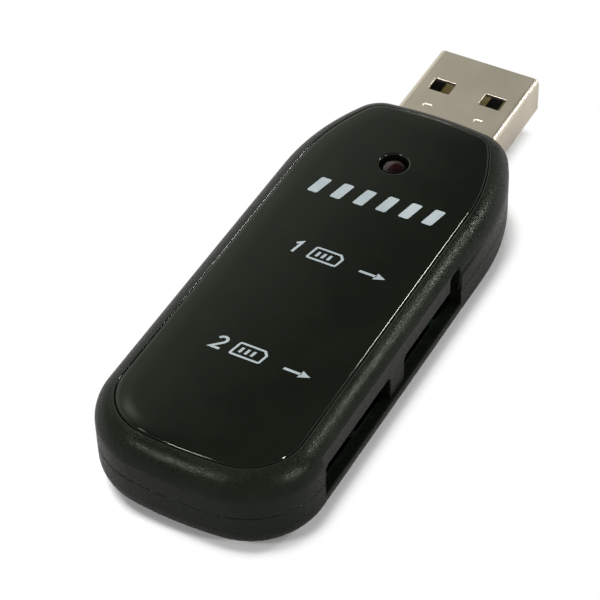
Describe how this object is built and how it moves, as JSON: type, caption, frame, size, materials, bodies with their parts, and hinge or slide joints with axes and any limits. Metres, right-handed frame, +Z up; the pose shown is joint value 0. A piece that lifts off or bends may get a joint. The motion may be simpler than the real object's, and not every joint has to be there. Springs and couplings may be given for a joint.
{
  "type": "memory card reader",
  "caption": "Stick-shaped memory card reader with a flat plug at one end and two card slots in its right-hand side.",
  "frame": {"origin": "under the middle of the reader's whole length, on the surface that it lies on", "axes": "+Y out of the plug, +X out of the card slots in the right-hand side, +Z up through the glossy panel"},
  "size_m": [0.024, 0.0696, 0.01],
  "materials": {
    "shell_black": "fine spark texture with a satin sheen",
    "panel_gloss": "mirror-smooth black",
    "plug_steel": "plain drawn sheet, satin",
    "plug_plastic": "smooth moulded",
    "contact_gold": "gold plated, smooth",
    "board_green": "solder mask",
    "socket_plastic": "smooth moulded",
    "cover_steel": "bright sheet",
    "lamp_red": "clear dark red, polished",
    "lead_tin": "tinned",
    "chip_black": "fine moulded",
    "ceramic_brown": "fired ceramic",
    "lid_metal": "plated lid",
    "capacitor_tan": "fired ceramic",
    "resistor_black": "glazed film on ceramic"
  },
  "bodies": {
    "root": {"upper_shell": "shell_black", "lower_shell": "shell_black", "top_panel": "panel_gloss", "plug_shell": "plug_steel", "plug_tongue": "plug_plastic", "plug_contacts": "contact_gold", "circuit_board": "board_green", "front_socket_base": "socket_plastic", "front_socket_contacts": "contact_gold", "front_socket_cover": "cover_steel", "rear_socket_base": "socket_plastic", "rear_socket_contacts": "contact_gold", "rear_socket_cover": "cover_steel", "card_switches": "contact_gold", "status_lamp": "lamp_red", "lamp_leads": "lead_tin", "controller_chip": "chip_black", "controller_leads": "lead_tin", "crystal_base": "ceramic_brown", "crystal_lid": "lid_metal", "regulator_body": "chip_black", "regulator_leads": "lead_tin", "chip_capacitors": "capacitor_tan", "chip_resistors": "resistor_black", "chip_terminals": "lead_tin"}
  },
  "joints": []
}
